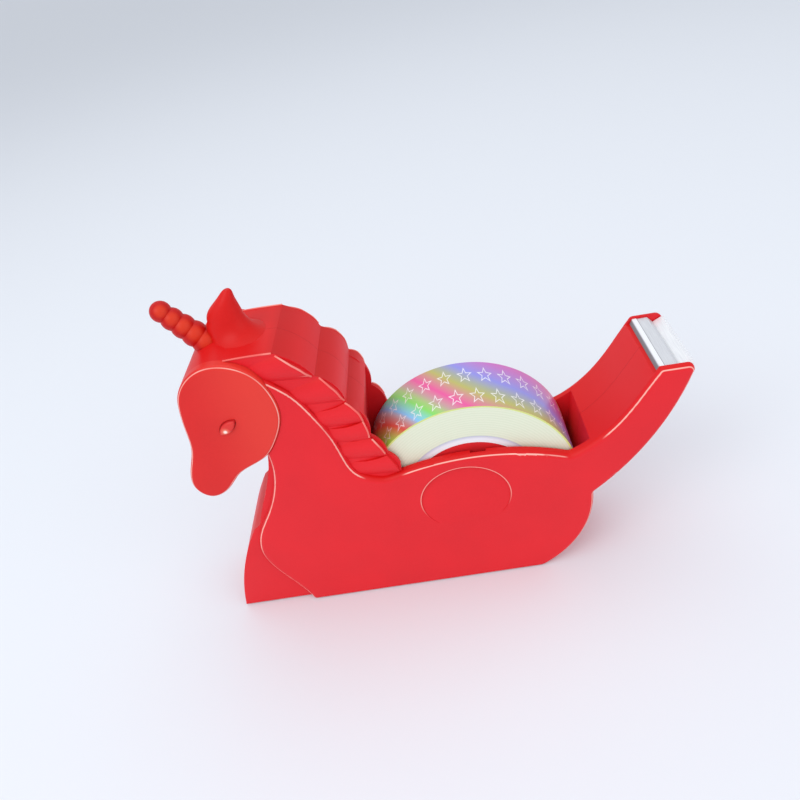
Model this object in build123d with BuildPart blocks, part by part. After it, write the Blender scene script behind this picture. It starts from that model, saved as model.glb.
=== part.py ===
"""Desk tape dispenser shaped as a unicorn: moulded half shells, a lift-out tape hub and a toothed cutter."""
import os
from math import cos, hypot, sin

from build123d import *

os.makedirs("parts", exist_ok=True)

# Tape roll on its core, which everything else is sized around
TAPE_WIDTH = 15.0
TAPE_OD = 43.0
CORE_ID = 25.4
CORE_WALL = 1.6

# Named clearances
ROLL_SIDE_GAP = 0.5
ROLL_RIM_GAP = 0.6
ROLL_FLOOR_GAP = 0.5
LIFT_GAP = 0.25
HUB_FIT = 0.05
PIN_FIT = 0.06
PEG_FIT = 0.08
SEAM_GAP = 0.01
PANEL_GAP = 0.06
INSERT_GAP = 0.12
EAR_GAP = 0.05
COVER_GAP = 0.2
SCREW_FIT = 0.2

# Shell thicknesses: side wall beside the roll, the relief that stands out on it, and the hollow parts' wall
SIDE_WALL = 2.0
RELIEF = 1.2
SHELL_WALL = 1.8
PARTITION = 1.8
EDGE_ROUND = 1.1

# Pads, cover and rim under the base
PAD_THICK = 0.8
COVER_THICK = 1.1
RIM_Z = 0.4

# Axle pin and the open-topped slots it drops into, which lean back so that the roll clears the mane
PIN_DIA = 3.0
SLOT_DEPTH = 0.75
LIFT_LEAN = 10.0

# Face panels, eyes, mane tufts and thumb dishes
PANEL_THICK = 2.1
PANEL_SINK = 0.3
PANEL_ROUND = 0.8
PANEL_PEG_DIA = 2.4
PANEL_PEG_LEN = 2.4
EYE_RISE = 0.7
EYE_SINK = 0.8
EYE_LENGTH = 4.5
EYE_WIDTH = 2.2
EYE_LEAN = 0.63
TUFT_RISE = 1.15
TUFT_ROOT = 0.3
TUFT_DOME = 4.4
DISH_WIDTH = 18.2
DISH_HEIGHT = 16.7
DISH_DEPTH = 0.75

# Horn and ear inserts
ROOT_BEAD_DIA = 5.3
TIP_BEAD_DIA = 4.0
BEAD_COUNT = 5
BEAD_PITCH = 2.35
BEAD_START = 0.2
TENON_DIA = 2.4
TENON_LEN = 3.6
EAR_TENON_WIDE = 3.0
EAR_TENON_LONG = 5.0

# Cutter and tape rest in the tail
CHEEK = 1.3
REST_DROP = 0.45
REST_THICK = 0.5
REST_LENGTH = 3.0
REST_DIP = 1.05
REST_LIP = 0.9
REST_HEM = 0.9
BLADE_THICK = 0.4
BLADE_LENGTH = 4.5
TOOTH_PITCH = 0.85
TOOTH_DEPTH = 0.7

# Screws, bosses, alignment pegs and ballast
SCREW_DIA = 2.2
SCREW_HEAD_DIA = 4.2
SCREW_HEAD_HIGH = 1.6
SCREW_GRIP = 4.5
BOSS_DIA = 5.6
PILOT_DEPTH = 6.0
COVER_SCREW_HEAD_HIGH = 0.7
COVER_SCREW_BITE = 6.0
COVER_BOSS_HIGH = 9.0
COVER_TAB_THICK = 0.7
COVER_TAB_LEN = 2.0
COVER_TAB_WIDTH = 8.0
PEG_DIA = 2.4
PEG_LEN = 2.6
BALLAST_HIGH = 16.0
BALLAST_GAP = 0.6

# Levels and reaches that follow from the sizes above
TAPE_R = TAPE_OD / 2
POCKET_R = TAPE_R + ROLL_RIM_GAP
HALF_POCKET = TAPE_WIDTH / 2 + ROLL_SIDE_GAP
HALF_WIDTH = HALF_POCKET + SIDE_WALL
HALF_CORE = HALF_WIDTH - RELIEF
COVER_TOP = PAD_THICK + COVER_THICK
AXLE_Z = COVER_TOP + ROLL_FLOOR_GAP + TAPE_R
FRONT_X = -POCKET_R
REAR_X = POCKET_R
HALF_BLADE = HALF_WIDTH - CHEEK
PANEL_SEAT = HALF_CORE - PANEL_SINK
TALL = 4 * TAPE_OD
LIFT_START = Location((0, AXLE_Z), -LIFT_LEAN)


def front(dx, dz):
    """A point of the neck or head, from the pocket's front wall and the axle's height."""
    return (FRONT_X + dx, AXLE_Z + dz)


def rear(dx, dz):
    """A point of the tail, from the pocket's rear wall and the axle's height."""
    return (REAR_X + dx, AXLE_Z + dz)


def side_plane(side, lateral):
    """The upright plane at a distance from the seam, on the left (-1) or right (+1)."""
    return Plane.XZ.offset(-side * lateral)


def outward(side, depth):
    """The extrusion amount that grows away from the seam."""
    return -side * depth


# Points that more than one outline shares
FOOT_FRONT = (FRONT_X - 34.6, RIM_Z)
FOOT_REAR = (REAR_X - 8.8, RIM_Z)
STEP_LOW = front(-25.0, -0.2)
STEP_HIGH = front(-23.3, 1.1)
THROAT = front(-15.8, 19.9)
NOTCHES = [front(-20.0, 41.4), front(-8.3, 41.3), front(-2.2, 35.1), front(1.9, 28.2), front(4.6, 19.6),
           front(6.9, 14.6), front(8.8, 11.3)]
SCALLOP_RISES = [0.2, 0.7, 1.2, 1.3, 0.6, 0.4]
WALL_FRONT = front(8.6, 9.6)
WALL_REAR = rear(-2.6, 7.0)
TAIL_TIP = rear(14.3, 24.1)
NOSE_TOP = rear(19.0, 24.0)
NOSE_END = rear(20.4, 22.4)
NOTCH_REAR = rear(1.6, -4.0)
SHELL_BOSSES = [front(-7.6, 21.5), front(-15.0, 3.0), rear(10.3, 11.0)]
PEGS = [front(-20.0, 33.5), rear(4.5, 4.0)]
PANEL_PEGS = [front(-14.8, 35.8), front(-27.2, 17.6)]
EYE_AT = front(-20.3, 28.7)
EAR_SEAT_Z = AXLE_Z + 39.4
EAR_FOOT_Z = AXLE_Z + 41.85
EAR_MIDDLE = FRONT_X - 15.6
HORN_PLANE = Plane(origin=(FRONT_X - 21.8, 0, AXLE_Z + 41.2), x_dir=(0, 1, 0), z_dir=(-0.61, 0, 0.79))
COVER_X0 = FOOT_FRONT[0] + SHELL_WALL + 0.8
COVER_X1 = FOOT_REAR[0] - 3.0
HALF_HOLLOW = HALF_CORE - SHELL_WALL
HALF_COVER = HALF_HOLLOW - COVER_GAP
COVER_SCREW_X = COVER_X0 + 4.4
COVER_SCREW_Y = HALF_COVER - BOSS_DIA / 2 + 0.6


HEAD_MIDDLE = front(-20.0, 29.0)
HEAD_POINTS = [front(-27.5, 35.2), front(-28.4, 29.6), front(-29.1, 24.5), front(-31.6, 18.4),
               front(-31.8, 14.8), front(-29.2, 12.2), front(-25.8, 13.2), front(-21.9, 16.9), THROAT,
               front(-12.6, 23.6), front(-10.3, 28.5), front(-10.4, 34.0), front(-12.3, 38.3),
               front(-16.2, 41.2), front(-20.7, 41.7), front(-24.9, 39.5)]


def draw_head(gap=0.0):
    """Closed outline of the head, drawn round from the forehead and moved out from its middle by a gap."""
    moved = []
    for x, z in HEAD_POINTS:
        reach = hypot(x - HEAD_MIDDLE[0], z - HEAD_MIDDLE[1])
        moved.append((x + gap * (x - HEAD_MIDDLE[0]) / reach, z + gap * (z - HEAD_MIDDLE[1]) / reach))
    Spline(*moved, periodic=True)


def draw_wall_top():
    """The tape wall's top edge, also returned so that other edges can leave it smoothly."""
    return ThreePointArc(WALL_FRONT, (1.0, AXLE_Z + 11.2), WALL_REAR)


def draw_rear():
    """Open outline from the tape wall's rear end over the tail and the rump to the rear foot."""
    Spline(WALL_REAR, rear(3.6, 10.6), rear(7.6, 14.6), rear(11.6, 20.2), TAIL_TIP)
    Line(TAIL_TIP, NOSE_TOP)
    ThreePointArc(NOSE_TOP, rear(20.1, 23.5), NOSE_END)
    ThreePointArc(NOSE_END, rear(13.2, 8.1), NOTCH_REAR)
    ThreePointArc(NOTCH_REAR, rear(-0.6, -14.3), FOOT_REAR)


def draw_core():
    """Closed outline of base, chest, neck, mane, tape wall and tail; the head overlaps it."""
    ThreePointArc(FOOT_FRONT, front(-30.9, -11.2), STEP_LOW)
    Line(STEP_LOW, STEP_HIGH)
    Spline(STEP_HIGH, front(-20.9, 6.6), front(-18.4, 11.8), THROAT)
    Line(THROAT, NOTCHES[0])
    for start, end, rise in zip(NOTCHES, NOTCHES[1:], SCALLOP_RISES):
        SagittaArc(start, end, rise)
    Line(NOTCHES[-1], WALL_FRONT)
    draw_wall_top()
    draw_rear()
    Line(FOOT_REAR, FOOT_FRONT)


def draw_relief():
    """Closed outline of the raised side: chest panel, neck, tape wall and tail, without the mane."""
    foot = (FRONT_X - 18.6, RIM_Z)
    crown = front(-12.0, 37.6)
    Spline(foot, front(-23.0, -14.0), front(-25.3, -7.0), front(-24.2, -1.4), front(-20.4, 4.9),
           front(-17.2, 11.4), THROAT)
    Line(THROAT, crown)
    top = draw_wall_top()
    Spline(crown, front(-7.3, 32.6), front(-4.3, 26.7), front(-2.3, 21.0), front(-1.3, 15.6), front(0.6, 11.0),
           front(4.4, 9.0), WALL_FRONT, tangents=((1, -1.1), tuple(top % 0)[:2]))
    draw_rear()
    Line(FOOT_REAR, foot)


def near(points, vertices):
    """The sketch vertices that lie on the named points."""
    return [v for v in vertices if any(hypot(v.X - p[0], v.Y - p[1]) < 0.01 for p in points)]


def draw_hollow():
    """Closed outline of the space inside chest and neck, a wall's thickness inside the core outline."""
    wall = SHELL_WALL
    Polyline((FOOT_FRONT[0] + 1.2 * wall, RIM_Z - 1), (FOOT_FRONT[0] + 1.2 * wall, RIM_Z + 2),
             front(-30.9 + 1.2 * wall, -11.2), (STEP_LOW[0] + 1.3 * wall, STEP_LOW[1] - 0.4 * wall),
             front(-20.9 + 1.2 * wall, 6.6), (THROAT[0] + 1.1 * wall, THROAT[1] - wall),
             (THROAT[0] + 2.2 * wall, THROAT[1] + 8.0), front(-9.6, 33.4),
             (NOTCHES[2][0] - 1.4 * wall, NOTCHES[2][1] - wall),
             (NOTCHES[3][0] - 1.1 * wall, NOTCHES[3][1] - wall),
             front(2.9 - PARTITION, 18.0), front(1.6 - PARTITION, 9.0), front(-PARTITION, 2.0),
             (FRONT_X - PARTITION, RIM_Z - 1), close=True)


def draw_almond(centre, length, width, lean):
    """Closed outline of an eye: two arcs between its corners, leaning up to the rear."""
    dx = length / 2 * cos(lean)
    dz = length / 2 * sin(lean)
    wx = -width / 2 * sin(lean)
    wz = width / 2 * cos(lean)
    low = (centre[0] - dx, centre[1] - dz)
    high = (centre[0] + dx, centre[1] + dz)
    ThreePointArc(low, (centre[0] + wx, centre[1] + wz), high)
    ThreePointArc(high, (centre[0] - wx, centre[1] - wz), low)


def build_relief(side):
    """The raised side of one shell, with its outer edges rounded."""
    with BuildPart() as relief:
        with BuildSketch(side_plane(side, HALF_HOLLOW)) as face:
            with BuildLine():
                draw_relief()
            make_face()
            fillet(near([WALL_REAR, NOTCH_REAR, TAIL_TIP], face.vertices()), EDGE_ROUND)
        extrude(amount=outward(side, HALF_WIDTH - HALF_HOLLOW))
        outer = relief.faces().sort_by(Axis.Y)[0 if side < 0 else -1]
        fillet(outer.edges().filter_by(lambda e: e.geom_type != GeomType.LINE or e.length < 8), EDGE_ROUND)
    return relief.part


def build_tuft(side, high, low, rise):
    """One puffed lock of the mane between two parting lines, each given from its inner to its outer end."""
    root = ((high[0][0] + low[0][0]) / 2, (high[0][1] + low[0][1]) / 2)
    tip = ((high[1][0] + low[1][0]) / 2, (high[1][1] + low[1][1]) / 2)
    crest = Plane(origin=(tip[0], side * (HALF_CORE + TUFT_RISE - TUFT_DOME), tip[1]), x_dir=(0, 1, 0),
                  z_dir=(tip[0] - root[0], side * (TUFT_RISE - TUFT_ROOT), tip[1] - root[1]))
    with BuildPart() as tuft:
        with BuildSketch(side_plane(side, HALF_HOLLOW)):
            with BuildLine():
                SagittaArc(high[0], high[1], -0.5)
                SagittaArc(high[1], low[1], rise)
                SagittaArc(low[1], low[0], 0.5)
                Line(low[0], high[0])
            make_face()
        extrude(amount=outward(side, HALF_CORE - HALF_HOLLOW + TUFT_RISE))
        with BuildSketch(crest):
            Circle(TUFT_DOME)
        extrude(amount=TALL, both=True, mode=Mode.INTERSECT)
    return tuft.part


def build_dish(side):
    """The space of the thumb dish: an oval whose floor slopes from its foot to full depth at the top."""
    foot = AXLE_Z + 0.4 - DISH_HEIGHT / 2
    runout = foot + DISH_HEIGHT / 8
    slope = Plane(origin=(0, side * HALF_WIDTH, runout), x_dir=(1, 0, 0),
                  z_dir=(0, side * (foot + DISH_HEIGHT - runout), DISH_DEPTH))
    with BuildPart() as dish:
        with BuildSketch(side_plane(side, HALF_WIDTH - 2 * DISH_DEPTH)):
            with Locations((-2.0, foot + DISH_HEIGHT / 2)):
                Ellipse(DISH_WIDTH / 2, DISH_HEIGHT / 2)
        extrude(amount=outward(side, 4 * DISH_DEPTH))
        split(bisect_by=slope, keep=Keep.TOP)
    return dish.part


# Parting lines of the mane, each from its inner end to its outer end, and the bulge of the lock below each
PARTINGS = [(front(-15.4, 40.6), front(-8.4, 41.0)), (front(-9.4, 34.9), front(-2.5, 35.2)),
            (front(-5.2, 27.4), front(1.7, 28.4)), (front(-3.6, 23.0), front(4.0, 23.7)),
            (front(-2.2, 19.3), front(4.3, 19.6)), (front(-1.2, 14.0), front(6.6, 14.5)),
            (front(0.9, 10.1), front(8.3, 10.2))]
LOCK_RISES = [0.6, 1.1, 0.8, 0.3, 0.5, 0.3]

# Seat of the tape rest and the cutter between the tail's cheeks
SEAT_Z = TAIL_TIP[1] - REST_DROP - REST_THICK
LIP_X = TAIL_TIP[0] + 0.1
BLADE_DIR = (0.88, 0.475)
BLADE_ROOT = (LIP_X + REST_LENGTH - 0.5, SEAT_Z - 2.05)


def along_blade(distance, height):
    """A point on the cutter's section: distance from its root, height above its lower face."""
    return (BLADE_ROOT[0] + distance * BLADE_DIR[0] - height * BLADE_DIR[1],
            BLADE_ROOT[1] + distance * BLADE_DIR[1] + height * BLADE_DIR[0])


def build_half(side):
    """What both half shells share, on the left (-1) or right (+1) of the seam."""
    relief = build_relief(side)
    dish = build_dish(side)
    tufts = []
    for high, low, rise in zip(PARTINGS, PARTINGS[1:], LOCK_RISES):
        tufts.append(build_tuft(side, high, low, rise))
    with BuildPart() as shell:
        # Slab of base, neck, head and tail, then the raised side and the mane's locks on it
        with BuildSketch(side_plane(side, SEAM_GAP)):
            with BuildLine():
                draw_core()
            make_face()
            with BuildLine():
                draw_head()
            make_face()
        extrude(amount=outward(side, HALF_CORE - SEAM_GAP))
        add(relief)
        add(tufts)
        add(dish, mode=Mode.SUBTRACT)
        # Recess that takes the face panel
        with BuildSketch(side_plane(side, PANEL_SEAT)):
            with BuildLine():
                draw_head(PANEL_GAP)
            make_face()
        extrude(amount=outward(side, PANEL_THICK), mode=Mode.SUBTRACT)
        # Tape pocket, open above and down to the base cover
        with BuildSketch(Plane.XZ):
            with Locations((0, AXLE_Z)):
                Circle(POCKET_R)
            with Locations(LIFT_START):
                Rectangle(2 * (TAPE_R + LIFT_GAP), TALL, align=(Align.CENTER, Align.MIN))
            with Locations((0, AXLE_Z / 2)):
                Rectangle(TAPE_R, AXLE_Z)
        extrude(amount=outward(side, HALF_POCKET), mode=Mode.SUBTRACT)
        # Open-topped slot for the axle pin
        with BuildSketch(side_plane(side, HALF_POCKET)):
            with Locations((0, AXLE_Z)):
                Circle(PIN_DIA / 2 + PIN_FIT)
            with Locations(LIFT_START):
                Rectangle(PIN_DIA + 2 * PIN_FIT, TALL, align=(Align.CENTER, Align.MIN))
        extrude(amount=outward(side, SLOT_DEPTH), mode=Mode.SUBTRACT)
        # Hollow chest and neck, and the opening that the base cover closes
        with BuildSketch(Plane.XZ):
            with BuildLine():
                draw_hollow()
            make_face()
        extrude(amount=outward(side, HALF_HOLLOW), mode=Mode.SUBTRACT)
        with BuildSketch(Plane.XY):
            with Locations(((COVER_X0 + COVER_X1) / 2, side * HALF_HOLLOW / 2)):
                Rectangle(COVER_X1 - COVER_X0 + 2 * COVER_GAP, HALF_HOLLOW)
        extrude(amount=COVER_TOP, mode=Mode.SUBTRACT)
        with BuildSketch(Plane.XY.offset(COVER_TOP - COVER_TAB_THICK - COVER_GAP)):
            with Locations((COVER_X1, 0)):
                Rectangle(2 * (COVER_TAB_LEN + COVER_GAP), COVER_TAB_WIDTH + 2 * COVER_GAP)
        extrude(amount=COVER_TAB_THICK + COVER_GAP, mode=Mode.SUBTRACT)
        # Bosses for the shell screws and the cover screw
        with BuildSketch(side_plane(side, SEAM_GAP)):
            with Locations(*SHELL_BOSSES):
                Circle(BOSS_DIA / 2)
        extrude(amount=outward(side, HALF_CORE - SEAM_GAP))
        with BuildSketch(Plane.XY.offset(COVER_TOP)):
            with Locations((COVER_SCREW_X, side * COVER_SCREW_Y)):
                Circle(BOSS_DIA / 2)
        extrude(amount=COVER_BOSS_HIGH)
        with BuildSketch(Plane.XY.offset(COVER_TOP)):
            with Locations((COVER_SCREW_X, side * COVER_SCREW_Y)):
                Circle(SCREW_DIA / 2)
        extrude(amount=COVER_SCREW_BITE, mode=Mode.SUBTRACT)
        # Sockets for the horn, the ear and the face panel's pegs
        with BuildSketch(HORN_PLANE):
            Circle(TENON_DIA / 2 + PEG_FIT)
        extrude(amount=-TENON_LEN, mode=Mode.SUBTRACT)
        with BuildSketch(HORN_PLANE):
            Circle(TENON_DIA / 2 + PEG_FIT)
        extrude(amount=TENON_LEN, mode=Mode.SUBTRACT)
        with BuildSketch(Plane.XY.offset(EAR_SEAT_Z)):
            with Locations((EAR_MIDDLE, 0)):
                Rectangle(EAR_TENON_LONG + 2 * EAR_GAP, EAR_TENON_WIDE + 2 * EAR_GAP)
        extrude(amount=TENON_LEN, mode=Mode.SUBTRACT)
        with BuildSketch(side_plane(side, PANEL_SEAT)):
            with Locations(*PANEL_PEGS):
                Circle(PANEL_PEG_DIA / 2 + PEG_FIT)
        extrude(amount=outward(side, -PANEL_PEG_LEN), mode=Mode.SUBTRACT)
        # Seat of the tape rest and the cutter
        with BuildSketch(Plane.XZ):
            with BuildLine():
                Polyline((LIP_X - 3, SEAT_Z + 5), (LIP_X - 3, SEAT_Z - REST_LIP / 2),
                         (LIP_X + 0.3, SEAT_Z - REST_LIP / 2), (LIP_X + REST_THICK + 0.2, SEAT_Z),
                         (BLADE_ROOT[0] - 0.7, SEAT_Z), along_blade(-0.3, BLADE_THICK),
                         along_blade(-0.3, 0), along_blade(BLADE_LENGTH + 1, 0),
                         (BLADE_ROOT[0] + 6, SEAT_Z + 5), close=True)
            make_face()
        extrude(amount=outward(side, HALF_BLADE), mode=Mode.SUBTRACT)
    return shell.part


def build_panel(side):
    """One raised face panel with its two pegs and the pocket for the eye."""
    with BuildPart() as panel:
        with BuildSketch(side_plane(side, PANEL_SEAT)):
            with BuildLine():
                draw_head()
            make_face()
        extrude(amount=outward(side, PANEL_THICK))
        outer = panel.faces().sort_by(Axis.Y)[0 if side < 0 else -1]
        fillet(outer.edges(), PANEL_ROUND)
        with BuildSketch(side_plane(side, PANEL_SEAT)):
            with Locations(*PANEL_PEGS):
                Circle(PANEL_PEG_DIA / 2)
        extrude(amount=outward(side, -PANEL_PEG_LEN))
        with BuildSketch(side_plane(side, PANEL_SEAT + PANEL_THICK - EYE_SINK)):
            with BuildLine():
                draw_almond(EYE_AT, EYE_LENGTH + 2 * PEG_FIT, EYE_WIDTH + 2 * PEG_FIT, EYE_LEAN)
            make_face()
        extrude(amount=outward(side, EYE_SINK), mode=Mode.SUBTRACT)
    return panel.part


def build_eye(side):
    """One domed eye, seated in its face panel."""
    with BuildPart() as eye:
        with BuildSketch(side_plane(side, PANEL_SEAT + PANEL_THICK - EYE_SINK)):
            with BuildLine():
                draw_almond(EYE_AT, EYE_LENGTH, EYE_WIDTH, EYE_LEAN)
            make_face()
        extrude(amount=outward(side, EYE_SINK + EYE_RISE))
        outer = eye.faces().sort_by(Axis.Y)[0 if side < 0 else -1]
        fillet(outer.edges(), EYE_RISE - 0.1)
    return eye.part


# Left shell: pilot holes for the screws, and the pegs that find their sockets across the seam
half = build_half(-1)
with BuildPart() as left_shell:
    add(half)
    with BuildSketch(Plane.XZ):
        with Locations(*SHELL_BOSSES):
            Circle(SCREW_DIA / 2)
    extrude(amount=outward(-1, PILOT_DEPTH), mode=Mode.SUBTRACT)
    with BuildSketch(side_plane(-1, PEG_LEN)):
        with Locations(*PEGS):
            Circle(PEG_DIA / 2)
    extrude(amount=outward(1, 2 * PEG_LEN))
left_shell.part.label = "left_shell"
export_step(left_shell.part, "parts/left_shell.step")

# Right shell: clearance holes and head recesses for the screws, and sockets for the pegs
with BuildPart() as right_shell:
    mirror(half, about=Plane.XZ)
    with BuildSketch(Plane.XZ):
        with Locations(*SHELL_BOSSES):
            Circle(SCREW_DIA / 2 + SCREW_FIT)
    extrude(amount=outward(1, SCREW_GRIP + RELIEF), mode=Mode.SUBTRACT)
    with BuildSketch(side_plane(1, SCREW_GRIP)):
        with Locations(*SHELL_BOSSES):
            Circle(SCREW_HEAD_DIA / 2 + SCREW_FIT)
    extrude(amount=outward(1, HALF_WIDTH), mode=Mode.SUBTRACT)
    with BuildSketch(Plane.XZ):
        with Locations(*PEGS):
            Circle(PEG_DIA / 2 + PEG_FIT)
    extrude(amount=outward(1, PEG_LEN + PEG_FIT), mode=Mode.SUBTRACT)
right_shell.part.label = "right_shell"
export_step(right_shell.part, "parts/right_shell.step")

for side, word in ((-1, "left"), (1, "right")):
    face_panel = build_panel(side)
    face_panel.label = word + "_face_panel"
    export_step(face_panel, "parts/" + word + "_face_panel.step")
    eye_bead = build_eye(side)
    eye_bead.label = word + "_eye"
    export_step(eye_bead, "parts/" + word + "_eye.step")

# Horn: a tapering row of beads that sits on the crown, on a tenon that the shells clamp
with BuildPart(HORN_PLANE) as bead_row:
    for bead in range(BEAD_COUNT):
        taper = bead / (BEAD_COUNT - 1)
        with Locations((0, 0, BEAD_START + bead * BEAD_PITCH)):
            Sphere((ROOT_BEAD_DIA * (1 - taper) + TIP_BEAD_DIA * taper) / 2)
with BuildPart() as horn:
    add(bead_row.part)
    with BuildSketch(Plane.XZ):
        with BuildLine():
            draw_head()
        make_face()
    extrude(amount=HALF_CORE, both=True, mode=Mode.SUBTRACT)
    with BuildSketch(HORN_PLANE.offset(-TENON_LEN + PEG_FIT)):
        Circle(TENON_DIA / 2)
    extrude(amount=TENON_LEN + BEAD_PITCH)
horn.part.label = "horn"
export_step(horn.part, "parts/horn.step")

# Ear: one leaf-shaped cone on the seam with a flared foot, on a flat tenon let into a slot in the crown
# Each section: height over the foot, front end, rear end and half thickness
EAR_SECTIONS = [(0.0, -18.9, -9.9, 4.4), (0.7, -19.0, -11.4, 3.5), (1.6, -19.5, -12.4, 2.9),
                (3.0, -20.1, -13.1, 2.5), (4.5, -19.9, -13.4, 2.2), (6.4, -18.2, -13.7, 1.7),
                (7.9, -16.4, -13.8, 1.0), (8.8, -15.2, -14.1, 0.45)]
with BuildPart() as ear:
    for rise, nose, back, half in EAR_SECTIONS:
        with BuildSketch(Plane.XY.offset(EAR_FOOT_Z + rise)):
            with Locations((FRONT_X + (nose + back) / 2, 0)):
                Ellipse((back - nose) / 2, half)
    loft()
    with BuildSketch(Plane.XY.offset(EAR_SEAT_Z + PEG_FIT)):
        with Locations((EAR_MIDDLE, 0)):
            Rectangle(EAR_TENON_LONG, EAR_TENON_WIDE)
    extrude(amount=EAR_FOOT_Z - EAR_SEAT_Z)
ear.part.label = "ear"
export_step(ear.part, "parts/ear.step")

# Tape rest: a bent plate across the tail, its rear lip and its front edge turned down
REST_TOP = SEAT_Z + REST_THICK
REST_END = LIP_X + REST_LENGTH
with BuildPart() as tape_rest:
    with BuildSketch(Plane.XZ.offset(-HALF_BLADE + INSERT_GAP)):
        with BuildLine():
            Polyline((LIP_X - 0.4, REST_TOP - REST_LIP), (LIP_X, REST_TOP), (LIP_X + 0.15, REST_TOP + 0.15),
                     (LIP_X + REST_HEM, REST_TOP + 0.15), (LIP_X + REST_HEM + 0.1, REST_TOP),
                     (REST_END, REST_TOP),
                     (REST_END + 0.9 * REST_DIP, REST_TOP - REST_DIP),
                     (REST_END + 0.5 * REST_DIP, REST_TOP - 1.35 * REST_DIP),
                     (REST_END - REST_THICK / 2, SEAT_Z), (LIP_X + REST_THICK, SEAT_Z),
                     (LIP_X + 0.1, REST_TOP - REST_LIP), close=True)
        make_face()
    extrude(amount=2 * (HALF_BLADE - INSERT_GAP))
tape_rest.part.label = "tape_rest"
export_step(tape_rest.part, "parts/tape_rest.step")

# Cutter: a flat strip that leans up and out of the tail, its front edge toothed
BLADE_PLANE = Plane(origin=(BLADE_ROOT[0], 0, BLADE_ROOT[1]), x_dir=(BLADE_DIR[0], 0, BLADE_DIR[1]),
                    z_dir=(-BLADE_DIR[1], 0, BLADE_DIR[0]))
TOOTH_COUNT = int(2 * (HALF_BLADE - INSERT_GAP) / TOOTH_PITCH)
HALF_TEETH = TOOTH_COUNT * TOOTH_PITCH / 2
with BuildPart() as cutter_blade:
    with BuildSketch(BLADE_PLANE):
        with BuildLine():
            outline = [(0, -HALF_TEETH), (BLADE_LENGTH - TOOTH_DEPTH, -HALF_TEETH)]
            for tooth in range(TOOTH_COUNT):
                outline.append((BLADE_LENGTH, -HALF_TEETH + (tooth + 0.5) * TOOTH_PITCH))
                outline.append((BLADE_LENGTH - TOOTH_DEPTH, -HALF_TEETH + (tooth + 1) * TOOTH_PITCH))
            outline.append((0, HALF_TEETH))
            Polyline(*outline, close=True)
        make_face()
    extrude(amount=BLADE_THICK)
cutter_blade.part.label = "cutter_blade"
export_step(cutter_blade.part, "parts/cutter_blade.step")

# Base cover with its rear tab and two screw holes
with BuildPart() as base_cover:
    with BuildSketch(Plane.XY.offset(PAD_THICK)):
        with Locations(((COVER_X0 + COVER_X1) / 2, 0)):
            Rectangle(COVER_X1 - COVER_X0, 2 * HALF_COVER)
    extrude(amount=COVER_THICK)
    with BuildSketch(Plane.XY.offset(COVER_TOP - COVER_TAB_THICK)):
        with Locations((COVER_X1, 0)):
            Rectangle(2 * COVER_TAB_LEN, COVER_TAB_WIDTH)
    extrude(amount=COVER_TAB_THICK)
    with BuildSketch(Plane.XY.offset(PAD_THICK)):
        with Locations((COVER_SCREW_X, COVER_SCREW_Y), (COVER_SCREW_X, -COVER_SCREW_Y)):
            Circle(SCREW_DIA / 2 + SCREW_FIT)
    extrude(amount=COVER_THICK, mode=Mode.SUBTRACT)
    with BuildSketch(Plane.XY.offset(PAD_THICK)):
        with Locations((COVER_SCREW_X, COVER_SCREW_Y), (COVER_SCREW_X, -COVER_SCREW_Y)):
            Circle(SCREW_HEAD_DIA / 2 + SCREW_FIT)
    extrude(amount=COVER_SCREW_HEAD_HIGH, mode=Mode.SUBTRACT)
base_cover.part.label = "base_cover"
export_step(base_cover.part, "parts/base_cover.step")

# Two screws through the cover into the shells
with BuildPart() as base_screws:
    with Locations((COVER_SCREW_X, COVER_SCREW_Y, PAD_THICK), (COVER_SCREW_X, -COVER_SCREW_Y, PAD_THICK)):
        Cylinder(SCREW_HEAD_DIA / 2, COVER_SCREW_HEAD_HIGH, align=(Align.CENTER, Align.CENTER, Align.MIN))
        Cylinder(SCREW_DIA / 2, COVER_THICK + COVER_SCREW_BITE, align=(Align.CENTER, Align.CENTER, Align.MIN))
base_screws.part.label = "base_screws"
export_step(base_screws.part, "parts/base_screws.step")

# Three screws that draw the shells together, heads on the right
with BuildPart() as shell_screws:
    with BuildSketch(side_plane(-1, PILOT_DEPTH)):
        with Locations(*SHELL_BOSSES):
            Circle(SCREW_DIA / 2)
    extrude(amount=-(PILOT_DEPTH + SCREW_GRIP))
    with BuildSketch(side_plane(1, SCREW_GRIP)):
        with Locations(*SHELL_BOSSES):
            Circle(SCREW_HEAD_DIA / 2)
    extrude(amount=outward(1, SCREW_HEAD_HIGH))
    with BuildSketch(side_plane(1, SCREW_GRIP + SCREW_HEAD_HIGH)):
        with Locations(*SHELL_BOSSES):
            Rectangle(SCREW_HEAD_DIA * 0.6, 0.5)
            Rectangle(0.5, SCREW_HEAD_DIA * 0.6)
    extrude(amount=outward(1, -0.8), mode=Mode.SUBTRACT)
shell_screws.part.label = "shell_screws"
export_step(shell_screws.part, "parts/shell_screws.step")

# Ballast block that stands on the base cover inside the chest
BALLAST_X0 = COVER_SCREW_X + BOSS_DIA / 2 + BALLAST_GAP
BALLAST_X1 = FRONT_X - PARTITION - BALLAST_GAP
with BuildPart() as ballast_weight:
    with Locations(((BALLAST_X0 + BALLAST_X1) / 2, 0, COVER_TOP)):
        Box(BALLAST_X1 - BALLAST_X0, 2 * (HALF_HOLLOW - BALLAST_GAP), BALLAST_HIGH,
            align=(Align.CENTER, Align.CENTER, Align.MIN))
    chamfer(ballast_weight.edges().filter_by(Axis.Z), 1.0)
ballast_weight.part.label = "ballast_weight"
export_step(ballast_weight.part, "parts/ballast_weight.step")

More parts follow.
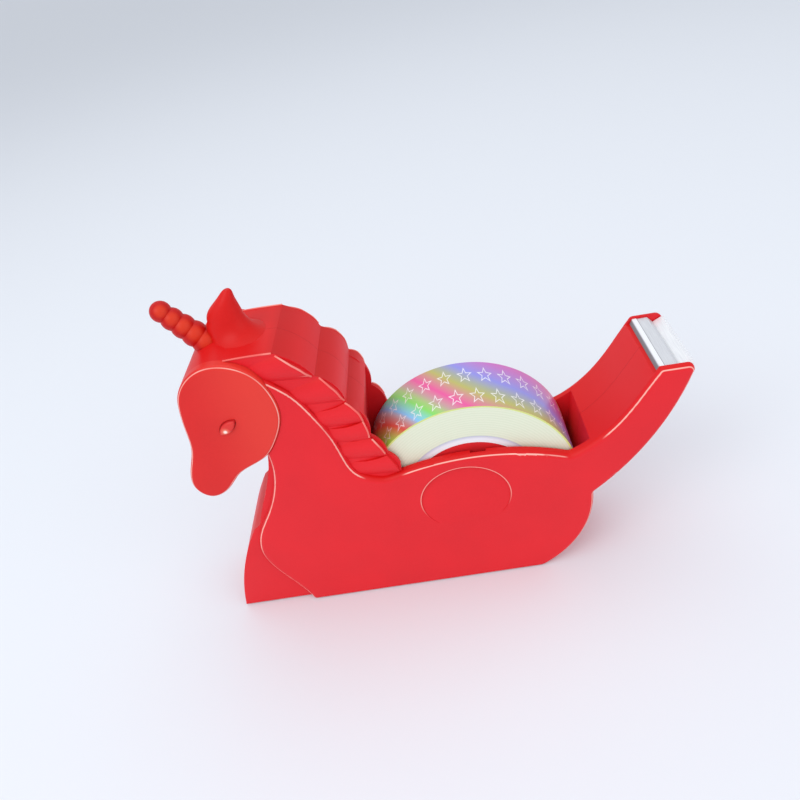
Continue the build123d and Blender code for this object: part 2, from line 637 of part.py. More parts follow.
# Two non-slip pads under the cover
with BuildPart() as front_pad:
    with Locations((BALLAST_X0 + 8.0, 0, 0)):
        Box(14.0, 2 * HALF_COVER - 3.0, PAD_THICK, align=(Align.CENTER, Align.CENTER, Align.MIN))
    fillet(front_pad.edges().filter_by(Axis.Z), 2.0)
front_pad.part.label = "front_pad"
export_step(front_pad.part, "parts/front_pad.step")
with BuildPart() as rear_pad:
    with Locations((COVER_X1 - 8.5, 0, 0)):
        Box(14.0, 2 * HALF_COVER - 3.0, PAD_THICK, align=(Align.CENTER, Align.CENTER, Align.MIN))
    fillet(rear_pad.edges().filter_by(Axis.Z), 2.0)
rear_pad.part.label = "rear_pad"
export_step(rear_pad.part, "parts/rear_pad.step")

# Axle pin
PIN_HALF = HALF_POCKET + SLOT_DEPTH - PEG_FIT
with BuildPart() as axle_pin:
    with BuildSketch(Plane.XZ.offset(-PIN_HALF)):
        with Locations((0, AXLE_Z)):
            Circle(PIN_DIA / 2)
    extrude(amount=2 * PIN_HALF)
    chamfer(axle_pin.edges().filter_by(GeomType.CIRCLE), 0.3)
axle_pin.part.label = "axle_pin"
export_step(axle_pin.part, "parts/axle_pin.step")

# Hub: rim that the core grips, one web with six openings, and a bored boss
HUB_R = CORE_ID / 2 - HUB_FIT
HUB_RIM = 3.0
HUB_BOSS_R = PIN_DIA / 2 + 2.2
WEB_HALF = 1.4
with BuildPart() as hub:
    with BuildSketch(Plane.XZ.offset(-TAPE_WIDTH / 2)):
        with Locations((0, AXLE_Z)):
            Circle(HUB_R)
            Circle(HUB_R - HUB_RIM, mode=Mode.SUBTRACT)
            Circle(HUB_BOSS_R)
    extrude(amount=TAPE_WIDTH)
    with BuildSketch(Plane.XZ.offset(-WEB_HALF)):
        with Locations((0, AXLE_Z)):
            Circle(HUB_R - HUB_RIM / 2)
            with PolarLocations((HUB_R - HUB_RIM + HUB_BOSS_R) / 2, 6):
                Circle((HUB_R - HUB_RIM - HUB_BOSS_R) / 2 - 1.0, mode=Mode.SUBTRACT)
    extrude(amount=2 * WEB_HALF)
    with BuildSketch(Plane.XZ.offset(-TAPE_WIDTH / 2)):
        with Locations((0, AXLE_Z)):
            Circle(PIN_DIA / 2 + PIN_FIT)
    extrude(amount=TAPE_WIDTH, mode=Mode.SUBTRACT)
hub.part.label = "hub"
export_step(hub.part, "parts/hub.step")

# Tape core and the wound tape on it
with BuildPart() as tape_core:
    with BuildSketch(Plane.XZ.offset(-TAPE_WIDTH / 2)):
        with Locations((0, AXLE_Z)):
            Circle(CORE_ID / 2 + CORE_WALL)
            Circle(CORE_ID / 2, mode=Mode.SUBTRACT)
    extrude(amount=TAPE_WIDTH)
tape_core.part.label = "tape_core"
export_step(tape_core.part, "parts/tape_core.step")
with BuildPart() as tape_roll:
    with BuildSketch(Plane.XZ.offset(-TAPE_WIDTH / 2)):
        with Locations((0, AXLE_Z)):
            Circle(TAPE_R)
            Circle(CORE_ID / 2 + CORE_WALL, mode=Mode.SUBTRACT)
    extrude(amount=TAPE_WIDTH)
tape_roll.part.label = "tape_roll"
export_step(tape_roll.part, "parts/tape_roll.step")
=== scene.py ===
from math import cos, pi, radians, sin, sqrt
import bpy
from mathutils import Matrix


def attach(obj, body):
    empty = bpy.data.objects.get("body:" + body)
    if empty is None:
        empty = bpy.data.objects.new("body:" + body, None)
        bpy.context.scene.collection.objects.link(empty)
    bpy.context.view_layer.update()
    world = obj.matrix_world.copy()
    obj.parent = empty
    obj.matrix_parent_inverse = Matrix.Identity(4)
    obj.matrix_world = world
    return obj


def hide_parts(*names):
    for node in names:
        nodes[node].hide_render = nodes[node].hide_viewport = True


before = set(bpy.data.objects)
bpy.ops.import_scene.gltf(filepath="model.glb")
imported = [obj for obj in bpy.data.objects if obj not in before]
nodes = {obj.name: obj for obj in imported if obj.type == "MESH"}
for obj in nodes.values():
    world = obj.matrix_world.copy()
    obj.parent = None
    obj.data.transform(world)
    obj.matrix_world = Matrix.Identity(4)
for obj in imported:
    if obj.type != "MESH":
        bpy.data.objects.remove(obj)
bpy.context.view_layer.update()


# The two half shells: hollow halves of injection-moulded red plastic, pegged and screwed together along a fine seam
# over the back. The mould rounds their edges, which carry a painted pale highlight, and leaves a faint grain on the
# faces.
def paint(red, green, blue):
    """A colour of the finish, from the 0 to 255 values of a colour card."""
    shares = [value / 255 for value in (red, green, blue)]
    return tuple(s / 12.92 if s <= 0.04045 else ((s + 0.055) / 1.055) ** 2.4 for s in shares) + (1,)


def figure(tree, operation, *values):
    """One arithmetic step of a finish: each value is a number or an earlier step."""
    step = tree.nodes.new("ShaderNodeMath")
    step.operation = operation
    for socket, value in zip(step.inputs, values):
        if isinstance(value, (int, float)):
            socket.default_value = value
        else:
            tree.links.new(value, socket)
    return step.outputs[0]


def product(tree, first, *others):
    """Values of a finish multiplied together."""
    for other in others:
        first = figure(tree, "MULTIPLY", first, other)
    return first


def distance(tree, one, other):
    """How far a place lies from a point, from the two parts of the way."""
    return figure(tree, "SQRT", figure(tree, "ADD", product(tree, one, one), product(tree, other, other)))


def fade(tree, value, start, end):
    """A share that goes from nothing at one value to all at another."""
    reach = tree.nodes.new("ShaderNodeMapRange")
    reach.interpolation_type = "SMOOTHSTEP"
    reach.inputs["From Min"].default_value = start
    reach.inputs["From Max"].default_value = end
    tree.links.new(value, reach.inputs["Value"])
    return reach.outputs["Result"]


def band(tree, value, starts, full, thins, gone):
    """A share that is all between two values and fades out on both sides of them."""
    return product(tree, fade(tree, value, starts, full), fade(tree, value, gone, thins))


def grading(tree, value, *stops):
    """A colour that changes along a value, from (position, colour) stops."""
    ramp = tree.nodes.new("ShaderNodeValToRGB")
    scale = ramp.color_ramp.elements
    scale[0].position, scale[0].color = stops[0]
    scale[1].position, scale[1].color = stops[-1]
    for position, colour in stops[1:-1]:
        scale.new(position).color = colour
    tree.links.new(value, ramp.inputs["Fac"])
    return ramp.outputs["Color"]


def overlay(tree, share, below, above):
    """One colour laid over another by a share."""
    mix = tree.nodes.new("ShaderNodeMix")
    mix.data_type = "RGBA"
    for socket, value in (("Factor", share), ("A", below), ("B", above)):
        if isinstance(value, (int, float, tuple)):
            mix.inputs[socket].default_value = value
        else:
            tree.links.new(value, mix.inputs[socket])
    return mix.outputs["Result"]


def clouding(tree, vector, scale, detail):
    """Soft random mottling at a scale per metre."""
    noise = tree.nodes.new("ShaderNodeTexNoise")
    noise.inputs["Scale"].default_value = scale
    noise.inputs["Detail"].default_value = detail
    tree.links.new(vector, noise.inputs["Vector"])
    return noise.outputs["Fac"]


def relief(tree, shader, height, strength, depth):
    """Fine surface relief on a finish."""
    bump = tree.nodes.new("ShaderNodeBump")
    bump.inputs["Strength"].default_value = strength
    bump.inputs["Distance"].default_value = depth
    tree.links.new(height, bump.inputs["Height"])
    tree.links.new(bump.outputs["Normal"], shader.inputs["Normal"])


def finish_named(name):
    """A new finish with its tree, its shader and its place coordinates."""
    mat = bpy.data.materials.new(name)
    mat.use_nodes = True
    tree = mat.node_tree
    return mat, tree, tree.nodes["Principled BSDF"], tree.nodes.new("ShaderNodeTexCoord")


def place_parts(tree, place, socket):
    """The three parts of a place or of a facing."""
    parts = tree.nodes.new("ShaderNodeSeparateXYZ")
    tree.links.new(place.outputs[socket], parts.inputs["Vector"])
    return parts.outputs["X"], parts.outputs["Y"], parts.outputs["Z"]


def moulded_red(name, colour, rough):
    """Moulded red plastic with faint clouds, specks and grain; gives the colour so far for marks on top."""
    mat, tree, shader, place = finish_named(name)
    cloud = clouding(tree, place.outputs["Object"], 75, 3)
    speck = clouding(tree, place.outputs["Object"], 2400, 2)
    deep = tuple(c * 0.9 for c in colour[:3]) + (1,)
    light = tuple(min(1, c * 1.08 + 0.004) for c in colour[:3]) + (1,)
    tone = grading(tree, cloud, (0.3, deep), (0.7, colour))
    tone = overlay(tree, product(tree, speck, 0.45), tone, light)
    tree.links.new(tone, shader.inputs["Base Color"])
    grain = clouding(tree, place.outputs["Object"], 5200, 2)
    relief(tree, shader, grain, 0.06, 0.00005)
    gloss = figure(tree, "ADD", product(tree, cloud, 0.12), rough - 0.06)
    tree.links.new(gloss, shader.inputs["Roughness"])
    shader.inputs["IOR"].default_value = 1.46
    shader.inputs["Specular IOR Level"].default_value = 0.24
    return mat, tree, shader, place, tone


# The painted highlight on rounded edges: its pale colour and how strongly it is laid on.
EDGE_HIGHLIGHT = paint(255, 196, 182)
EDGE_HIGHLIGHT_SHARE = 0.85


def painted_edge_highlight(tree, place, tone, outside, kept=1.0):
    """A painted highlight: the fine pale line on roundings that face partly sideways, by the share kept of it."""
    across = figure(tree, "ABSOLUTE", place_parts(tree, place, "Normal")[1])
    beyond = figure(tree, "ABSOLUTE", place_parts(tree, place, "Object")[1])
    patch = clouding(tree, place.outputs["Object"], 90, 2)
    line = product(tree, band(tree, across, 0.66, 0.74, 0.8, 0.88), fade(tree, beyond, outside - 0.0001, outside),
                   kept, fade(tree, patch, 0.15, 0.5))
    return overlay(tree, product(tree, line, EDGE_HIGHLIGHT_SHARE), tone, EDGE_HIGHLIGHT)


def take_up(piece):
    """Makes a piece the only one that is picked."""
    bpy.ops.object.select_all(action="DESELECT")
    piece.select_set(True)
    bpy.context.view_layer.objects.active = piece


def skin(node, body, finish, angle):
    """The visible skin of a piece: faces joined, shaded smooth up to an angle, flat sides kept flat."""
    piece = bpy.data.objects.new(node + "_skin", nodes[node].data.copy())
    bpy.context.scene.collection.objects.link(piece)
    take_up(piece)
    bpy.ops.object.mode_set(mode="EDIT")
    bpy.ops.mesh.select_mode(type="FACE")
    bpy.ops.mesh.select_all(action="SELECT")
    bpy.ops.mesh.customdata_custom_splitnormals_clear()
    bpy.ops.mesh.remove_doubles(threshold=0.000001)
    bpy.ops.object.mode_set(mode="OBJECT")
    bpy.ops.object.shade_smooth_by_angle(angle=radians(angle))
    for face in piece.data.polygons:
        face.select = abs(face.normal.y) > 0.99999 or face.normal.z < -0.99999
    bpy.ops.object.mode_set(mode="EDIT")
    bpy.ops.mesh.region_to_loop()
    bpy.ops.mesh.mark_sharp()
    bpy.ops.mesh.select_all(action="DESELECT")
    bpy.ops.object.mode_set(mode="OBJECT")
    piece.data.materials.clear()
    piece.data.materials.append(finish)
    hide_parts(node)
    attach(piece, body)
    return piece


shell_red, tree, shader, place, tone = moulded_red("shell_red", paint(231, 36, 45), 0.45)
along, across, up = place_parts(tree, place, "Object")
turn_x, turn_y, turn_z = place_parts(tree, place, "Normal")
offset = figure(tree, "ABSOLUTE", across)
# Painted shade: faces that look up are painted a deeper red, and the crown is painted darker just below each notch
# between two locks.
tone = overlay(tree, product(tree, fade(tree, turn_z, 0.15, 0.9), 0.75), tone, paint(212, 18, 12))
BLACK, WHITE = (0, 0, 0, 1), (1, 1, 1, 1)
CROWN_FOOT, CROWN_TALL = 0.036, 0.03
PAINTED_NOTCH_SHADES = ((0.167, 0.249), (0.433, 0.536), (0.667, 0.766), (0.88, 0.972))
shade_stops = []
for starts, notch in PAINTED_NOTCH_SHADES:
    shade_stops += [(starts, BLACK), (notch, WHITE), (notch + 0.003, BLACK)]
crown_height = figure(tree, "DIVIDE", figure(tree, "SUBTRACT", up, CROWN_FOOT), CROWN_TALL)
painted_notch_shade = grading(tree, crown_height, *shade_stops)
on_crown = product(tree, fade(tree, figure(tree, "ABSOLUTE", turn_y), 0.5, 0.3), fade(tree, turn_x, -0.1, 0.05),
                   figure(tree, "LESS_THAN", along, -0.012))
tone = overlay(tree, product(tree, painted_notch_shade, on_crown, 0.45), tone, paint(172, 8, 8))
# The painted highlight runs along the pocket's wall and the neck, and is left out at the mane's foot and the tail's
# foot.
HIGHLIGHT_LEFT_OUT = ((-0.0222, -0.0205, -0.0138, -0.012), (0.018, 0.0192, 0.0255, 0.0272))
beside_pocket = product(tree, figure(tree, "GREATER_THAN", up, 0.028), figure(tree, "LESS_THAN", up, 0.0375))
kept = 1.0
for reaches in HIGHLIGHT_LEFT_OUT:
    no_highlight = product(tree, band(tree, along, *reaches), beside_pocket)
    kept = product(tree, kept, figure(tree, "SUBTRACT", 1.0, no_highlight))
tone = painted_edge_highlight(tree, place, tone, 0.0095, kept)
# A painted highlight along the top edge of the pocket's wall, placed by position.
wall_top_highlight = product(tree, band(tree, offset, 0.00965, 0.0097, 0.00979, 0.00984),
                   band(tree, along, 0.0074, 0.0082, 0.014, 0.0148), figure(tree, "GREATER_THAN", up, 0.029))
# The oval dish in the flank has a painted highlight on its rim, a fine pale line that fades out towards its lower side.
DISH_X, DISH_Z, DISH_WIDE, DISH_TALL = -0.002, 0.0243, 0.0091, 0.00835
wide = figure(tree, "DIVIDE", figure(tree, "SUBTRACT", along, DISH_X), DISH_WIDE)
tall = figure(tree, "DIVIDE", figure(tree, "SUBTRACT", up, DISH_Z), DISH_TALL)
from_rim = figure(tree, "ABSOLUTE", figure(tree, "SUBTRACT", distance(tree, wide, tall), 1.006))
dish_rim_highlight = product(tree, fade(tree, from_rim, 0.018, 0.008), fade(tree, offset, 0.0098, 0.0099),
                   fade(tree, tall, -0.5, 0.1))
tone = overlay(tree, product(tree, dish_rim_highlight, 0.6), tone, paint(255, 190, 176))
tone = overlay(tree, product(tree, wall_top_highlight, EDGE_HIGHLIGHT_SHARE), tone, EDGE_HIGHLIGHT)
# The seam between the halves shows as a fine dark groove.
seam = figure(tree, "LESS_THAN", offset, 0.00006)
tone = overlay(tree, product(tree, seam, 0.35), tone, paint(140, 14, 18))
tree.links.new(tone, shader.inputs["Base Color"])
shells = [skin(half, "stand", shell_red, 24) for half in ("left_shell", "right_shell")]

# The rim of the mane: a fine rounded bead along the outer ends of the locks, coloured pale as a painted highlight.
# It is part of each shell, and is drawn here from the edge between the locks' tops and their outer ends.
rim_red, tree, shader, place, tone = moulded_red("rim_red", paint(242, 104, 98), 0.42)
patch = fade(tree, clouding(tree, place.outputs["Object"], 130, 2), 0.35, 0.65)
tone = overlay(tree, product(tree, patch, 0.6), tone, paint(255, 186, 172))
tree.links.new(tone, shader.inputs["Base Color"])
RIM_RADIUS = 0.00017
MANE_NOTCHES = [(-0.0421, 0.0653), (-0.0304, 0.0652), (-0.0243, 0.0590), (-0.0202, 0.0521), (-0.0175, 0.0435),
                (-0.0152, 0.0385), (-0.0133, 0.0352)]


def on_mane_rim(spot, heading):
    """Whether an edge, by its middle and its direction, follows the scalloped outer line of the mane."""
    for (x0, z0), (x1, z1) in zip(MANE_NOTCHES, MANE_NOTCHES[1:]):
        run, fall = x1 - x0, z1 - z0
        length = sqrt(run * run + fall * fall)
        share = ((spot.x - x0) * run + (spot.z - z0) * fall) / length ** 2
        beyond = ((spot.z - z0) * run - (spot.x - x0) * fall) / length
        lined = abs(heading.x * run + heading.z * fall) / (heading.length * length)
        if -0.02 < share < 1.02 and beyond > -0.00005 and lined > 0.6:
            return True
    return False


for shell in shells:
    sides = {}
    for face in shell.data.polygons:
        for key in face.edge_keys:
            sides.setdefault(key, []).append(abs(face.normal.y))
    rim = bpy.data.objects.new(shell.name.replace("shell_skin", "mane_rim"), shell.data.copy())
    bpy.context.scene.collection.objects.link(rim)
    take_up(rim)
    bpy.ops.object.mode_set(mode="EDIT")
    bpy.ops.mesh.select_mode(type="EDGE")
    bpy.ops.mesh.select_all(action="DESELECT")
    bpy.ops.object.mode_set(mode="OBJECT")
    for edge in rim.data.edges:
        start, end = (rim.data.vertices[corner].co for corner in edge.vertices)
        middle = (start + end) / 2
        folded = max(sides[edge.key]) > 0.5 and min(sides[edge.key]) < 0.3
        outside = 0.00875 if -0.0385 < middle.x < -0.0304 else 0.009
        if folded and abs(middle.y) > outside and on_mane_rim(middle, end - start):
            edge.select = True
    bpy.ops.object.mode_set(mode="EDIT")
    bpy.ops.mesh.select_all(action="INVERT")
    bpy.ops.mesh.delete(type="EDGE")
    bpy.ops.object.mode_set(mode="OBJECT")
    bpy.ops.object.convert(target="CURVE")
    rim.data.bevel_depth = RIM_RADIUS
    rim.data.bevel_resolution = 2
    rim.data.use_fill_caps = True
    bpy.ops.object.convert(target="MESH")
    bpy.ops.object.shade_smooth()
    rim.data.materials.clear()
    rim.data.materials.append(rim_red)
    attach(rim, "stand")

# The raised face panels: one moulded plate a side, pegged into the head, of the shells' plastic with a higher polish.
# Each is lighter towards the neck, and its rounded outline carries the same painted pale highlight as the shells'
# edges.
face_red, tree, shader, place, tone = moulded_red("face_red", paint(222, 38, 36), 0.4)
towards_neck = fade(tree, place_parts(tree, place, "Object")[0], -0.049, -0.034)
tone = overlay(tree, product(tree, towards_neck, 0.55), tone, paint(238, 72, 58))
tree.links.new(painted_edge_highlight(tree, place, tone, 0.009), shader.inputs["Base Color"])
for panel in ("left_face_panel", "right_face_panel"):
    skin(panel, "stand", face_red, 30)

# The eyes: small domed almonds of the same red plastic pressed into the face panels, with a painted highlight, a pale
# catch light, low on the front of each; painted shade keeps the edge darker where it dips into the panel.
eye_red, tree, shader, place, tone = moulded_red("eye_red", paint(226, 56, 52), 0.34)
LIGHT_X, LIGHT_Z = -0.0429, 0.0520
along, across, up = place_parts(tree, place, "Object")
from_light = distance(tree, figure(tree, "SUBTRACT", along, LIGHT_X), figure(tree, "SUBTRACT", up, LIGHT_Z))
sideways = figure(tree, "ABSOLUTE", place_parts(tree, place, "Normal")[1])
tone = overlay(tree, fade(tree, sideways, 0.9, 0.4), tone, paint(194, 32, 34))
tone = overlay(tree, product(tree, fade(tree, from_light, 0.0011, 0.0003), 0.55), tone, paint(252, 150, 120))
tone = overlay(tree, fade(tree, from_light, 0.0005, 0.00015), tone, paint(255, 238, 226))
tree.links.new(tone, shader.inputs["Base Color"])
for eye in ("left_eye", "right_eye"):
    skin(eye, "stand", eye_red, 40)

# The horn: one moulded row of beads on a tenon that the shells clamp; a painted highlight lightens the beads' crowns
# where they face the camera, so the valleys between them stay darker.
horn_red, tree, shader, place, tone = moulded_red("horn_red", paint(196, 14, 10), 0.42)
turn_x, turn_y, turn_z = place_parts(tree, place, "Normal")
bead_highlight = figure(tree, "ADD", product(tree, figure(tree, "ABSOLUTE", turn_y), 0.83),
               figure(tree, "ADD", product(tree, turn_x, 0.37), product(tree, turn_z, 0.42)))
tone = overlay(tree, product(tree, fade(tree, bead_highlight, 0.7, 1.0), 0.7), tone, paint(228, 66, 36))
tree.links.new(tone, shader.inputs["Base Color"])
skin("horn", "stand", horn_red, 30)

# The ear: one moulded leaf with a flared foot, its tenon let into a slot in the crown, of the crown's own plastic.
# The thin edge of the foot is pressed down on the crown all round.
ear_red = moulded_red("ear_red", paint(216, 20, 16), 0.45)[0]
ear = skin("ear", "stand", ear_red, 50)
EAR_FOOT, FOOT_TALL, FOOT_FRONT = 0.06575, 0.0035, -0.0375
for corner in ear.data.vertices:
    low = max(0.0, 1 - (corner.co.z - EAR_FOOT) / FOOT_TALL)
    if EAR_FOOT - 0.00001 < corner.co.z and low > 0:
        ahead = max(0.0, FOOT_FRONT - corner.co.x)
        corner.co.x = corner.co.x - 0.55 * low * ahead
        corner.co.y = corner.co.y * (1 + 0.3 * low ** 3)
        corner.co.z = corner.co.z - 0.0007 * low ** 3


# The tape rest: a bent plate of bright-rolled steel sheet, clamped between the tail's cheeks and brushed across the
# tape's path. Its hem carries a painted highlight, with painted shade along the hem's fold and on the lip at its other
# side.
def brushed(name, dark, bright, metal, rough):
    """Metal with fine brush lines across the part; gives the colour so far for marks on top."""
    mat, tree, shader, place = finish_named(name)
    stretch = tree.nodes.new("ShaderNodeMapping")
    stretch.inputs["Scale"].default_value = (1, 0.03, 1)
    tree.links.new(place.outputs["Object"], stretch.inputs["Vector"])
    lines = clouding(tree, stretch.outputs["Vector"], 9000, 3)
    cloud = clouding(tree, place.outputs["Object"], 400, 2)
    tone = grading(tree, lines, (0.3, dark), (0.7, bright))
    tone = overlay(tree, product(tree, cloud, 0.25), tone, dark)
    tree.links.new(tone, shader.inputs["Base Color"])
    shader.inputs["Metallic"].default_value = metal
    gloss = figure(tree, "ADD", product(tree, lines, 0.2), rough - 0.1)
    tree.links.new(gloss, shader.inputs["Roughness"])
    relief(tree, shader, lines, 0.05, 0.00002)
    return mat, tree, shader, place, tone


rest_silver, tree, shader, place, tone = brushed("rest_silver", paint(204, 206, 211), paint(222, 224, 228), 0.2, 0.45)
along = place_parts(tree, place, "Object")[0]
# Painted highlight on the hem, painted shade along its fold and on the lip.
hem_highlight = band(tree, along, 0.03652, 0.0366, 0.0374, 0.03748)
fold_shade = band(tree, along, 0.0374, 0.03748, 0.03755, 0.03765)
lip_shade = fade(tree, along, 0.03655, 0.0364)
tone = overlay(tree, product(tree, hem_highlight, 0.85), tone, paint(250, 251, 253))
tone = overlay(tree, product(tree, fold_shade, 0.6), tone, paint(128, 128, 134))
tone = overlay(tree, product(tree, lip_shade, 0.8), tone, paint(96, 92, 96))
tree.links.new(tone, shader.inputs["Base Color"])
skin("tape_rest", "stand", rest_silver, 25)

# The cutter: a hardened steel strip with ground teeth, held in slots in the tail's cheeks below the rest.
# It is brighter than the rest, with the same fine brush lines.
cutter_steel = brushed("cutter_steel", paint(230, 232, 236), paint(250, 251, 252), 0.2, 0.4)[0]
skin("cutter_blade", "stand", cutter_steel, 25)

# The base cover: a flat moulded plate of duller red plastic that closes the hollow from below.
# Two screws hold it at the front, and a tab at the rear.
cover_red = moulded_red("cover_red", paint(200, 36, 42), 0.55)[0]
skin("base_cover", "stand", cover_red, 30)

# The ballast: a rough cast-iron block that stands on the cover inside the chest and keeps the dispenser down.
# The casting is pitted all over and has a little rust.
ballast_iron, tree, shader, place = finish_named("ballast_iron")
pits = clouding(tree, place.outputs["Object"], 700, 5)
rust = figure(tree, "GREATER_THAN", clouding(tree, place.outputs["Object"], 160, 3), 0.58)
tone = grading(tree, pits, (0.3, paint(48, 47, 48)), (0.7, paint(92, 90, 90)))
tone = overlay(tree, product(tree, rust, 0.35), tone, paint(98, 64, 46))
tree.links.new(tone, shader.inputs["Base Color"])
shader.inputs["Metallic"].default_value = 0.6
shader.inputs["Roughness"].default_value = 0.75
relief(tree, shader, pits, 0.5, 0.0003)
nodes["ballast_weight"].data.materials.clear()
nodes["ballast_weight"].data.materials.append(ballast_iron)

# The non-slip pads: die-cut black foam rubber, stuck under the cover at the front and the rear.
# The open cells show as fine pits, and dust greys them a little.
pad_rubber, tree, shader, place = finish_named("pad_rubber")
cells = clouding(tree, place.outputs["Object"], 3200, 3)
dust = clouding(tree, place.outputs["Object"], 240, 3)
tone = grading(tree, cells, (0.3, paint(26, 26, 27)), (0.7, paint(54, 53, 53)))
tone = overlay(tree, product(tree, dust, 0.2), tone, paint(110, 106, 100))
tree.links.new(tone, shader.inputs["Base Color"])
shader.inputs["Roughness"].default_value = 0.88
relief(tree, shader, cells, 0.4, 0.0001)
for pad in ("front_pad", "rear_pad"):
    nodes[pad].data.materials.clear()
    nodes[pad].data.materials.append(pad_rubber)

# The screws: bright zinc-plated steel with fine tool marks. Three draw the shells together from the right side, and
# two hold the base cover from below.
plated_steel = brushed("plated_steel", paint(150, 152, 158), paint(206, 208, 212), 0.9, 0.36)[0]
for screw in ("shell_screws", "base_screws"):
    skin(screw, "stand", plated_steel, 30)

# The axle pin: a turned pin of the same plated steel, laid in the open-topped slots of the two walls.
# It carries the hub and lifts out with the roll.
skin("axle_pin", "axle", plated_steel, 30)

# The hub: a moulded wheel of red plastic, with one pierced web, that the tape core is pushed onto.
# It turns on the axle pin.
hub_red = moulded_red("hub_red", paint(226, 40, 46), 0.45)[0]
skin("hub", "roll", hub_red, 30)

# The tape core: a moulded white plastic ring that the tape is wound on.
# It carries painted shade, greying towards its outer edge next to the tape.
core_white, tree, shader, place = finish_named("core_white")
AXLE_HEIGHT, CORE_INSIDE, CORE_THICK = 0.0239, 0.0127, 0.0016
along, across, up = place_parts(tree, place, "Object")
reach = distance(tree, along, figure(tree, "SUBTRACT", up, AXLE_HEIGHT))
depth = figure(tree, "DIVIDE", figure(tree, "SUBTRACT", reach, CORE_INSIDE), CORE_THICK)
pulp = clouding(tree, place.outputs["Object"], 1800, 3)
# Painted shade: the ring greys towards its outer edge.
tone = grading(tree, depth, (0.0, paint(246, 247, 250)), (0.55, paint(240, 241, 247)), (1.0, paint(190, 192, 212)))
tone = overlay(tree, product(tree, pulp, 0.2), tone, paint(214, 216, 226))
tree.links.new(tone, shader.inputs["Base Color"])
shader.inputs["Roughness"].default_value = 0.6
relief(tree, shader, pulp, 0.1, 0.00006)
skin("tape_core", "roll", core_white, 30)

# The tape: printed film wound tight on the core, its rainbow crossing the film in slow slanting waves.
# Rows of fine white star outlines repeat along it; the wound edge is a cream side with fine rings and a lime rim.
# The lengths of the print are in millimetres, along the outer turn and across the film.
MILLIMETRES = 1000
TAPE_RADIUS = 21.5
tape_print, tree, shader, place = finish_named("tape_print")
along, width, up = place_parts(tree, place, "Object")
facing = place_parts(tree, place, "Normal")[1]
height = figure(tree, "SUBTRACT", up, AXLE_HEIGHT)
round_roll = product(tree, figure(tree, "ARCTAN2", along, height), TAPE_RADIUS)
across = product(tree, width, MILLIMETRES)
# The rainbow: one run of colours takes half a turn, and a wave a third of a turn long bends its slant.
RAINBOW_LONG = 67.55
RAINBOW_START = -32.0
WAVE_LONG = 45.03
WAVE_START = 8.0
WAVE_DEEP = 6.0
SLANT = 1.2
wave = figure(tree, "SINE", product(tree, figure(tree, "ADD", round_roll, WAVE_START), 2 * pi / WAVE_LONG))
slant = figure(tree, "ADD", round_roll, product(tree, across, SLANT))
slant = figure(tree, "ADD", slant, product(tree, wave, WAVE_DEEP))
shifted = figure(tree, "ADD", slant, RAINBOW_LONG - RAINBOW_START)
run_share = figure(tree, "FRACT", figure(tree, "DIVIDE", shifted, RAINBOW_LONG))
RAINBOW_STOPS = [(-32.0, (158, 224, 84)), (-29.5, (160, 224, 88)), (-26.5, (194, 174, 96)), (-23.5, (226, 92, 80)),
                 (-20.6, (198, 146, 146)), (-19.0, (184, 178, 192)), (-17.4, (134, 205, 252)), (-15.0, (134, 220, 212)),
                 (-11.4, (134, 226, 100)), (-8.6, (168, 208, 124)), (-5.8, (198, 162, 158)), (-1.2, (236, 86, 160)),
                 (2.6, (212, 142, 142)), (6.2, (188, 184, 100)), (9.4, (168, 174, 154)), (13.6, (146, 146, 228)),
                 (17.5, (174, 134, 210)), (21.0, (200, 116, 196)), (27.0, (226, 104, 160)), (31.0, (200, 184, 100)),
                 (35.5, (158, 224, 84))]
rainbow = grading(tree, run_share,
                  *[((at - RAINBOW_START) / RAINBOW_LONG, paint(*colour)) for at, colour in RAINBOW_STOPS])
# The stars: 33 to a turn in each row, the far rows set on by a part of the pitch, each an outline of five points.
STAR_PITCH = 2 * pi * TAPE_RADIUS / 33
STAR_START = 0.36
FAR_ROW_SET = 0.45
ROW_PITCH = 7.0
ROW_EDGE = -0.6
ROW_MIDDLE = 4.1
STAR_WIDE = 1.62
STAR_TALL = 2.75
STAR_WAIST = 0.42
INK_INSET = 0.045
INK_HALF_WIDE = 0.048
far_row = figure(tree, "GREATER_THAN", across, ROW_EDGE)
step_along = figure(tree, "ADD", round_roll, product(tree, far_row, STAR_PITCH * FAR_ROW_SET))
cell_along = figure(tree, "WRAP", figure(tree, "ADD", step_along, STAR_START), STAR_PITCH / 2, -STAR_PITCH / 2)
cell_across = figure(tree, "ADD", figure(tree, "WRAP", across, ROW_EDGE, ROW_EDGE - ROW_PITCH), ROW_MIDDLE)
wide = figure(tree, "DIVIDE", cell_along, STAR_WIDE)
tall = figure(tree, "DIVIDE", cell_across, STAR_TALL)
spread = distance(tree, wide, tall)
folded_turn = figure(tree, "PINGPONG", figure(tree, "ARCTAN2", wide, tall), pi / 5)
out = product(tree, spread, figure(tree, "COSINE", folded_turn))
side = product(tree, spread, figure(tree, "SINE", folded_turn))
rise = STAR_WAIST * sin(pi / 5)
run = 1 - STAR_WAIST * cos(pi / 5)
flank = sqrt(rise * rise + run * run)
gap = figure(tree, "ADD", product(tree, figure(tree, "SUBTRACT", out, 1.0), rise / flank),
             product(tree, side, run / flank))
ink = figure(tree, "LESS_THAN", figure(tree, "ABSOLUTE", figure(tree, "ADD", gap, INK_INSET)), INK_HALF_WIDE)
wear = clouding(tree, place.outputs["Object"], 1600, 3)
ink = product(tree, ink, figure(tree, "ADD", product(tree, wear, 0.6), 0.4))
film = overlay(tree, ink, rainbow, paint(250, 250, 250))
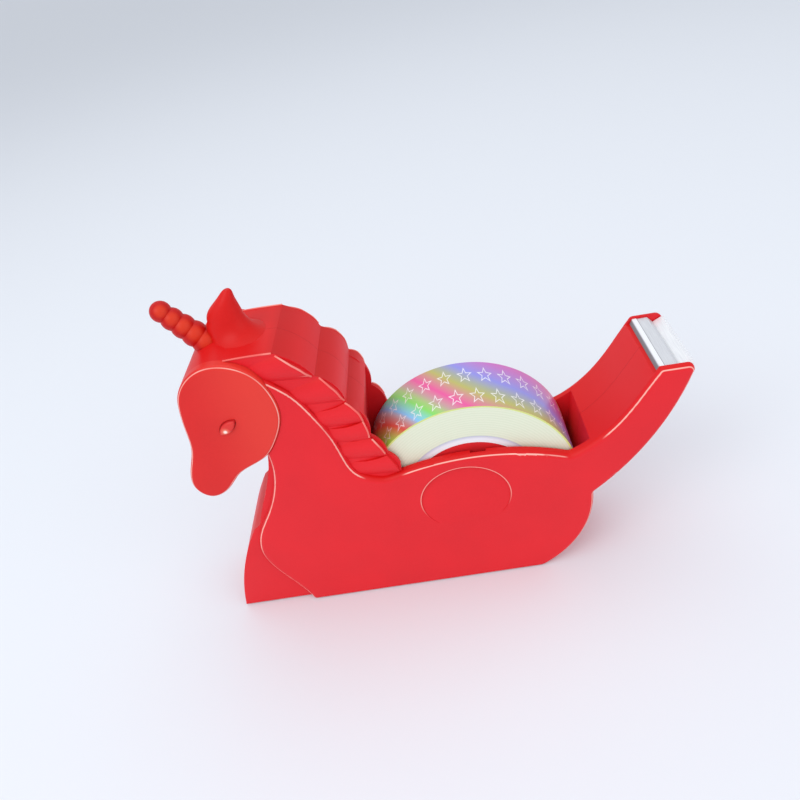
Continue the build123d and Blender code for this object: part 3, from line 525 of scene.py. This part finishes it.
# The wound edge: the turns show as fine uneven rings, and the outermost turns as a lime rim.
RING_PITCH = 0.55
LIME_WIDE = 0.35
reach = product(tree, distance(tree, along, height), MILLIMETRES)
uneven = figure(tree, "ADD", reach, product(tree, wear, 0.25))
rings = figure(tree, "SINE", product(tree, uneven, 2 * pi / RING_PITCH))
rings = figure(tree, "ADD", product(tree, rings, 0.5), 0.5)
wound = overlay(tree, product(tree, rings, 0.3), paint(230, 236, 212), paint(206, 218, 186))
lime_rim = figure(tree, "GREATER_THAN", reach, TAPE_RADIUS - LIME_WIDE)
wound = overlay(tree, product(tree, lime_rim, 0.8), wound, paint(214, 226, 110))
cut_side = figure(tree, "GREATER_THAN", figure(tree, "ABSOLUTE", facing), 0.7)
tree.links.new(overlay(tree, cut_side, film, wound), shader.inputs["Base Color"])
tree.links.new(figure(tree, "ADD", product(tree, cut_side, 0.25), 0.34), shader.inputs["Roughness"])
relief(tree, shader, product(tree, rings, cut_side), 0.12, 0.00005)
skin("tape_roll", "roll", tape_print, 30)

# The camera stands in front of the left side and looks down on it, close enough for a strong perspective.
bpy.ops.object.camera_add(location=(0.001608, -0.110308, 0.124708),
                          rotation=(radians(53.238), radians(11.211), radians(-1.496)))
camera = bpy.context.object
camera.data.lens = 31.032
camera.data.sensor_width = 36
camera.data.clip_start = 0.005
bpy.context.scene.camera = camera

# The floor: a plain pale sheet of paper, far larger than the view.
bpy.ops.mesh.primitive_plane_add(size=30, location=(0, 0, 0))
floor = bpy.context.object
floor.name = "floor"
floor_paper, tree, shader, place = finish_named("floor_paper")
shader.inputs["Base Color"].default_value = (0.80, 0.83, 0.88, 1)
shader.inputs["Roughness"].default_value = 0.85
floor.data.materials.append(floor_paper)

# Soft studio light: a large lamp ahead on the left, a weaker one on the right, one overhead, and pale surroundings.
for name, place_at, turned, size, power in (("key", (-0.35, -0.45, 0.6), (40, 0, -38), 0.5, 2.1),
                                            ("fill", (0.5, -0.4, 0.35), (60, 0, 50), 0.5, 0.6),
                                            ("top", (0, 0.15, 0.7), (-12, 0, 0), 0.6, 0.8)):
    bpy.ops.object.light_add(type="AREA", location=place_at, rotation=[radians(a) for a in turned])
    lamp = bpy.context.object
    lamp.name = name
    lamp.data.size = size
    lamp.data.energy = power
world = bpy.data.worlds.new("studio")
bpy.context.scene.world = world
world.use_nodes = True
world.node_tree.nodes["Background"].inputs["Color"].default_value = (0.92, 0.95, 1, 1)
world.node_tree.nodes["Background"].inputs["Strength"].default_value = 0.77
bpy.context.scene.view_settings.view_transform = "Standard"
